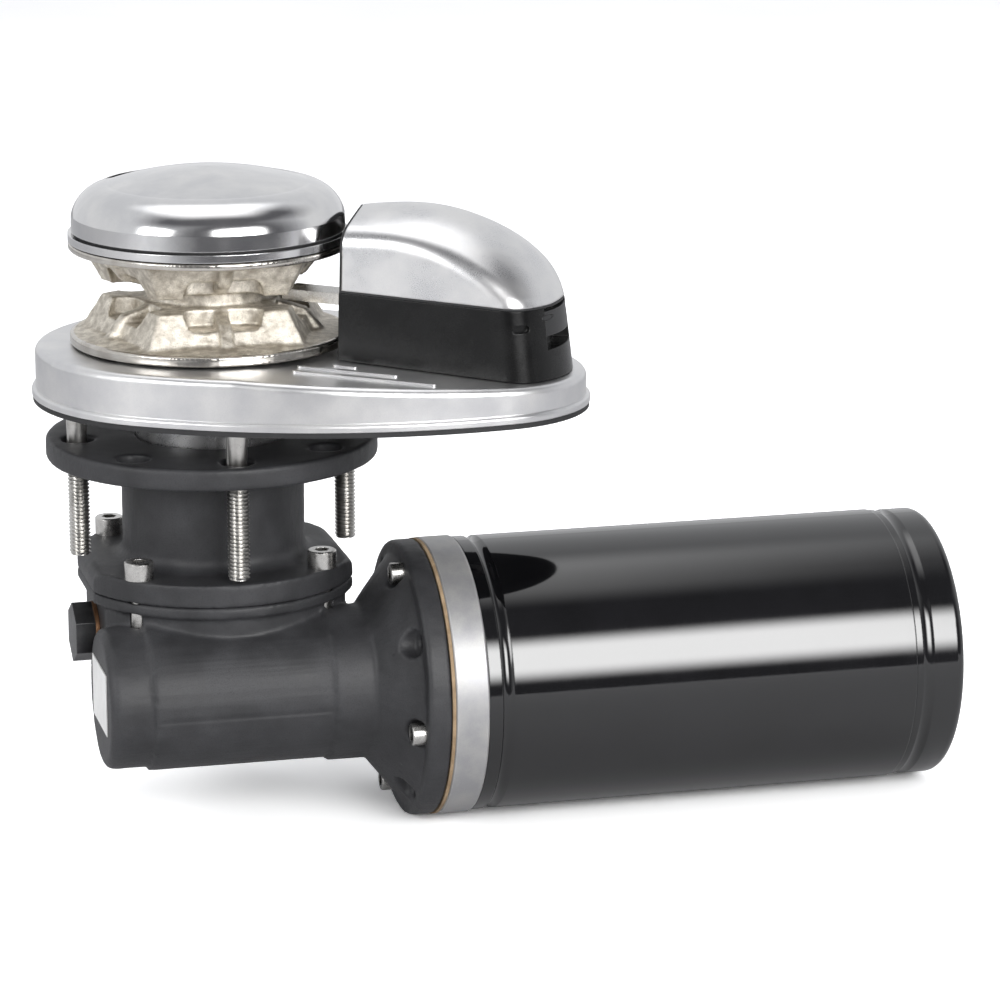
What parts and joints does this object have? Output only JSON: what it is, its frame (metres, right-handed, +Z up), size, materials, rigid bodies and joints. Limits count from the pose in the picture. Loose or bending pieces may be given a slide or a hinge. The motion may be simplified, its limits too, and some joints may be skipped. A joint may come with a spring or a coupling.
{
  "type": "anchor windlass",
  "caption": "Vertical anchor windlass with chain gypsy, cone clutch, domed cap, chain hood on a teardrop deck base, worm gearbox and motor below deck.",
  "frame": {"origin": "gypsy shaft axis on the deck plane, which is the underside of the base gasket", "axes": "+Z up the gypsy shaft, +X along the motor axis, away from the gearbox"},
  "size_m": [0.4065, 0.1885, 0.2934],
  "materials": {
    "rubber_black": "matte",
    "polished_steel": "mirror polished",
    "stainless": "satin",
    "machined_aluminium": "machined satin",
    "bearing_steel": "ground",
    "charcoal_paint": "fine textured satin",
    "plug_steel": "blackened",
    "seal_washer": "matte",
    "label_white": "blank printed film",
    "gasket_paper": "pressed fibre",
    "gloss_black_paint": "high gloss",
    "terminal_brass": "plain",
    "insulator": "phenolic",
    "magnet_iron": "sintered",
    "carbon": "carbon graphite",
    "shaft_steel": "turned",
    "clutch_bronze": "turned",
    "wheel_bronze": "cut",
    "cast_hub": "machined",
    "nickel_bronze": "cast, nickel plated",
    "black_plastic": "satin moulded",
    "latch_plastic": "satin moulded",
    "lamination_steel": "stacked sheet",
    "copper_wire": "enamelled copper"
  },
  "bodies": {
    "housing": {"deck_gasket": "rubber_black", "deck_base": "polished_steel", "mounting_studs": "stainless", "shaft_sleeve": "machined_aluminium", "upper_bearing": "bearing_steel", "middle_bearing": "bearing_steel", "lower_bearing": "bearing_steel", "shaft_seal": "rubber_black", "gearbox_seal": "rubber_black", "chain_stripper": "stainless", "stripper_post": "stainless", "stripper_screw": "stainless", "upper_casing": "charcoal_paint", "casing_screws": "stainless", "lower_casing": "charcoal_paint", "oil_plug": "plug_steel", "plug_washer": "seal_washer", "blank_label": "label_white", "worm_left_bearing": "bearing_steel", "worm_right_bearing": "bearing_steel", "motor_seal": "rubber_black", "paper_gasket": "gasket_paper", "motor_front_cover": "machined_aluminium", "flange_screws": "stainless", "motor_casing": "gloss_black_paint", "motor_end_cap": "gloss_black_paint", "motor_terminals": "terminal_brass", "terminal_collars": "insulator", "field_magnets": "magnet_iron", "brushes": "carbon", "brush_plate": "insulator", "motor_rear_bearing": "bearing_steel", "hood_catch": "stainless"},
    "shaft": {"main_shaft": "shaft_steel", "shaft_keys": "shaft_steel", "wheel_spacer": "shaft_steel", "lower_clutch_cone": "clutch_bronze", "upper_clutch_cone": "clutch_bronze", "clutch_disc": "polished_steel", "wheel_rim": "wheel_bronze", "wheel_hub": "cast_hub"},
    "chain_wheel": {"gypsy": "nickel_bronze"},
    "nut": {"cap_nut": "wheel_bronze"},
    "cap": {"dome_cap": "polished_steel", "dome_seal_ring": "rubber_black"},
    "hood": {"hood_body": "black_plastic", "hood_shell": "polished_steel", "hood_trim": "rubber_black", "latch_pin": "stainless"},
    "latch": {"hood_latch": "latch_plastic"},
    "rotor": {"worm_shaft": "shaft_steel", "shaft_coupling": "shaft_steel", "rotor_shaft": "shaft_steel", "rotor_core": "lamination_steel", "rotor_windings": "copper_wire", "commutator": "copper_wire"}
  },
  "joints": [
    {"name": "rotor_spin", "type": "hinge", "parent": "housing", "child": "rotor", "pos_m": [0, -0.045, -0.1264], "axis": [1, 0, 0], "continuous": true},
    {"name": "shaft_spin", "type": "hinge", "parent": "housing", "child": "shaft", "pos_m": [0, 0, 0], "axis": [0, 0, 1], "continuous": true},
    {"name": "gypsy_spin", "type": "hinge", "parent": "shaft", "child": "chain_wheel", "pos_m": [0, 0, 0], "axis": [0, 0, 1], "continuous": true},
    {"name": "cap_turn", "type": "hinge", "parent": "shaft", "child": "nut", "pos_m": [0, 0, 0], "axis": [0, 0, 1], "range_deg": [0, 360]},
    {"name": "cap_lift", "type": "slide", "parent": "nut", "child": "cap", "axis": [0, 0, 1], "range_m": [0, 0.002]},
    {"name": "hood_lift", "type": "slide", "parent": "housing", "child": "hood", "axis": [0, 0, 1], "range_m": [0, 0.045]},
    {"name": "latch_pull", "type": "hinge", "parent": "hood", "child": "latch", "pos_m": [0.14181, -0.07169, 0.0445], "axis": [0.5402, 0.8415, 0], "range_deg": [-15, 0], "stiffness_Nm_per_rad": 0.05}
  ],
  "couplings": [
    {"joint": "shaft_spin", "follows": "rotor_spin", "ratio": -0.03125},
    {"joint": "cap_lift", "follows": "cap_turn", "m_per_rad": 0.00031831}
  ]
}
